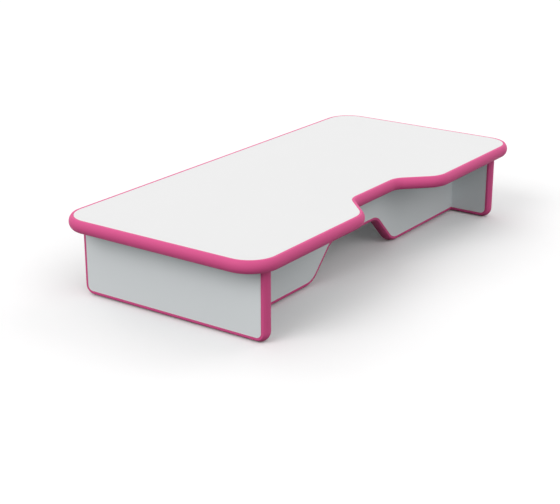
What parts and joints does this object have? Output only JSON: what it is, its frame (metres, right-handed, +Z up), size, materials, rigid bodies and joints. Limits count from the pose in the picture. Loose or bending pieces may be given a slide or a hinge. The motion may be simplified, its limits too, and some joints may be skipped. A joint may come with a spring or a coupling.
{
  "type": "desktop monitor riser",
  "caption": "Low white laminated shelf on panel ends with a back stiffener, rounded pink T-edging, a cable notch in its rear edge and a matching cable cut-out below it.",
  "frame": {"origin": "centre of the riser's bounding box, at the level of the surface that it stands on", "axes": "+Z up, X along the length, -Y towards the long edge with the cable notch (the rear), +Y towards the user"},
  "size_m": [0.75, 0.355, 0.127],
  "materials": {
    "chipboard": "raw chipboard, hidden by laminate and edging",
    "white_laminate": "white melamine laminate, satin with a very fine grain",
    "pink_edging": "satin extruded PVC",
    "beech_plate": "compressed beech"
  },
  "bodies": {
    "root": {"back_panel_core": "chipboard", "back_panel_edging": "pink_edging", "back_panel_front_laminate": "white_laminate", "back_panel_rear_laminate": "white_laminate", "back_panel_top_biscuits": "beech_plate", "left_end_back_biscuit": "beech_plate", "left_end_core": "chipboard", "left_end_edging": "pink_edging", "left_end_inner_laminate": "white_laminate", "left_end_outer_laminate": "white_laminate", "left_end_top_biscuits": "beech_plate", "right_end_back_biscuit": "beech_plate", "right_end_core": "chipboard", "right_end_edging": "pink_edging", "right_end_inner_laminate": "white_laminate", "right_end_outer_laminate": "white_laminate", "right_end_top_biscuits": "beech_plate", "top_core": "chipboard", "top_edging": "pink_edging", "top_face_laminate": "white_laminate", "top_underside_laminate": "white_laminate"}
  },
  "joints": []
}
